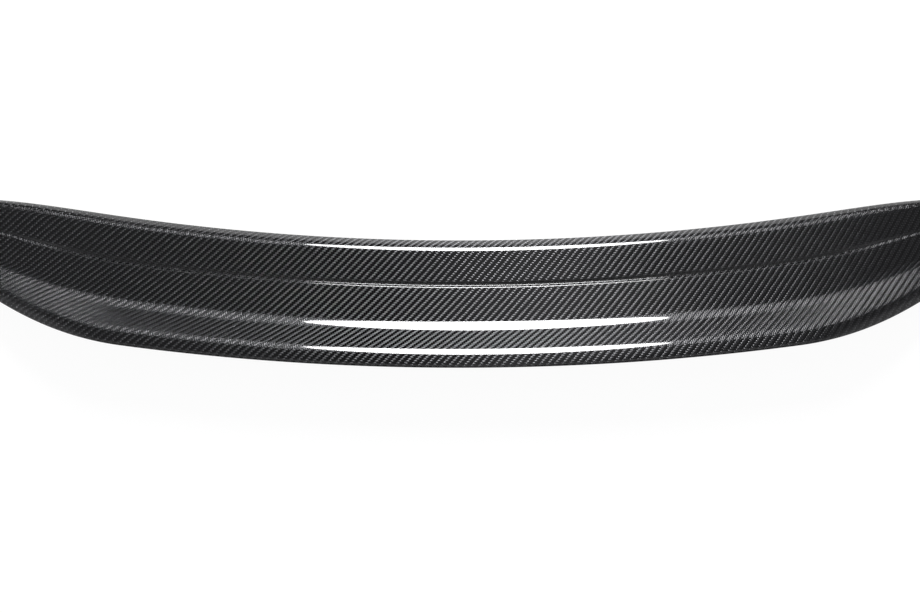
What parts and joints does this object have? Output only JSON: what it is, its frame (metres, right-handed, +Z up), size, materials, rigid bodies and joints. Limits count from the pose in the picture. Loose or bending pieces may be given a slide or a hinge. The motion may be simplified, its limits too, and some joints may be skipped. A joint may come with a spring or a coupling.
{
  "type": "car rear spoiler",
  "caption": "Gloss carbon fibre boot lid spoiler: bevelled front edge, flat deck, groove, kicked-up tail with a rounded lip, and a hollow underside on bonding flanges.",
  "frame": {"origin": "mid span, on the underside of the front bonding flange, at the middle of its width", "axes": "+X along the span to the car's right-hand side as seen from behind, +Y to the front of the car, +Z up off the boot lid"},
  "size_m": [1.15, 0.1967, 0.0475],
  "materials": {
    "carbon_laminate": "2x2 twill carbon fibre under a gloss clear coat"
  },
  "bodies": {
    "root": {"spoiler_shell": "carbon_laminate"}
  },
  "joints": []
}
